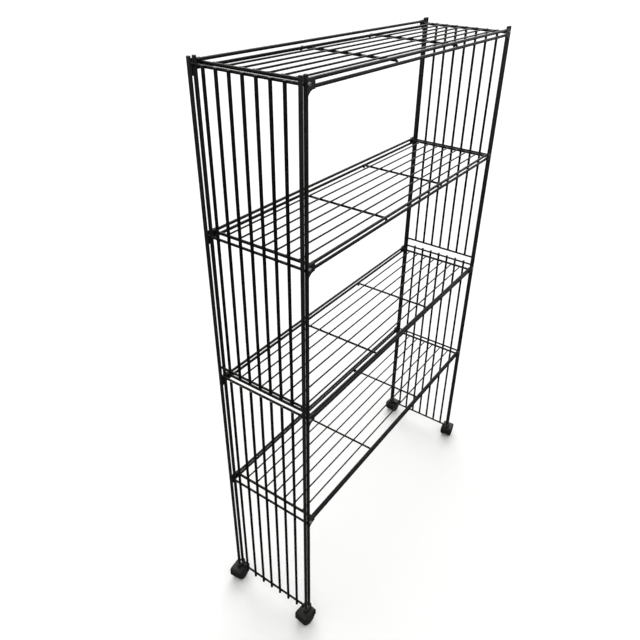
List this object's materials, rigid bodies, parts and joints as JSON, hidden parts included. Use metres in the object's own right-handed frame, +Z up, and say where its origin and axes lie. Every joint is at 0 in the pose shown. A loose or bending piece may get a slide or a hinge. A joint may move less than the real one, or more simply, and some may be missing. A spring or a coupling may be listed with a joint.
{
  "type": "wire plant trolley",
  "caption": "Open wire rack with tiered wire shelves between two barred end panels, rolling on small hooded twin-wheel casters.",
  "frame": {"origin": "on the floor, at the middle of the footprint", "axes": "+X along the shelves to the right, +Y to the back, +Z up; the front faces -Y"},
  "size_m": [0.96, 0.2852, 1.4605],
  "materials": {
    "post_paint": "satin black powder coat",
    "wire_paint": "satin black powder coat",
    "bracket_paint": "satin black powder coat on pressed sheet",
    "zinc": "bright zinc plate",
    "hood_plastic": "moulded black nylon",
    "wheel_plastic": "moulded black nylon with a scuffed tread"
  },
  "bodies": {
    "frame": {"left_outer_posts": "post_paint", "left_inner_posts": "post_paint", "left_panel_rails": "wire_paint", "left_upper_panel_wires": "wire_paint", "left_lower_panel_wires": "wire_paint", "right_outer_posts": "post_paint", "right_inner_posts": "post_paint", "right_panel_rails": "wire_paint", "right_upper_panel_wires": "wire_paint", "right_lower_panel_wires": "wire_paint", "shelf_1_front_rails": "wire_paint", "shelf_1_back_rails": "wire_paint", "shelf_1_end_rails": "wire_paint", "shelf_1_deck_wires": "wire_paint", "shelf_1_cross_wires": "wire_paint", "shelf_1_corner_brackets": "bracket_paint", "shelf_2_front_rails": "wire_paint", "shelf_2_back_rails": "wire_paint", "shelf_2_end_rails": "wire_paint", "shelf_2_deck_wires": "wire_paint", "shelf_2_cross_wires": "wire_paint", "shelf_2_corner_brackets": "bracket_paint", "shelf_3_front_rails": "wire_paint", "shelf_3_back_rails": "wire_paint", "shelf_3_end_rails": "wire_paint", "shelf_3_deck_wires": "wire_paint", "shelf_3_cross_wires": "wire_paint", "shelf_3_corner_brackets": "bracket_paint", "shelf_4_front_rails": "wire_paint", "shelf_4_back_rails": "wire_paint", "shelf_4_end_rails": "wire_paint", "shelf_4_deck_wires": "wire_paint", "shelf_4_cross_wires": "wire_paint", "shelf_4_corner_brackets": "bracket_paint", "bracket_screws": "zinc", "bracket_washers": "zinc", "caster_sockets": "bracket_paint", "caster_front_left_stem": "zinc", "caster_front_right_stem": "zinc", "caster_back_left_stem": "zinc", "caster_back_right_stem": "zinc"},
    "front_left_swivel": {"caster_front_left_housing": "hood_plastic"},
    "front_left_wheels": {"caster_front_left_wheels": "wheel_plastic", "caster_front_left_axle": "zinc"},
    "front_right_swivel": {"caster_front_right_housing": "hood_plastic"},
    "front_right_wheels": {"caster_front_right_wheels": "wheel_plastic", "caster_front_right_axle": "zinc"},
    "back_left_swivel": {"caster_back_left_housing": "hood_plastic"},
    "back_left_wheels": {"caster_back_left_wheels": "wheel_plastic", "caster_back_left_axle": "zinc"},
    "back_right_swivel": {"caster_back_right_housing": "hood_plastic"},
    "back_right_wheels": {"caster_back_right_wheels": "wheel_plastic", "caster_back_right_axle": "zinc"}
  },
  "joints": [
    {"name": "front_left_swivel", "type": "hinge", "parent": "frame", "child": "front_left_swivel", "pos_m": [-0.44725, -0.123, 0.04], "axis": [0, 0, 1], "continuous": true},
    {"name": "front_left_roll", "type": "hinge", "parent": "front_left_swivel", "child": "front_left_wheels", "pos_m": [-0.45521, -0.12216, 0.02], "axis": [-0.1045, -0.9945, 0], "continuous": true},
    {"name": "front_right_swivel", "type": "hinge", "parent": "frame", "child": "front_right_swivel", "pos_m": [0.44725, -0.123, 0.04], "axis": [0, 0, 1], "continuous": true},
    {"name": "front_right_roll", "type": "hinge", "parent": "front_right_swivel", "child": "front_right_wheels", "pos_m": [0.45521, -0.12216, 0.02], "axis": [-0.1045, 0.9945, 0], "continuous": true},
    {"name": "back_left_swivel", "type": "hinge", "parent": "frame", "child": "back_left_swivel", "pos_m": [-0.44725, 0.123, 0.04], "axis": [0, 0, 1], "continuous": true},
    {"name": "back_left_roll", "type": "hinge", "parent": "back_left_swivel", "child": "back_left_wheels", "pos_m": [-0.45521, 0.12216, 0.02], "axis": [0.1045, -0.9945, 0], "continuous": true},
    {"name": "back_right_swivel", "type": "hinge", "parent": "frame", "child": "back_right_swivel", "pos_m": [0.44725, 0.123, 0.04], "axis": [0, 0, 1], "continuous": true},
    {"name": "back_right_roll", "type": "hinge", "parent": "back_right_swivel", "child": "back_right_wheels", "pos_m": [0.45521, 0.12216, 0.02], "axis": [0.1045, 0.9945, 0], "continuous": true}
  ]
}
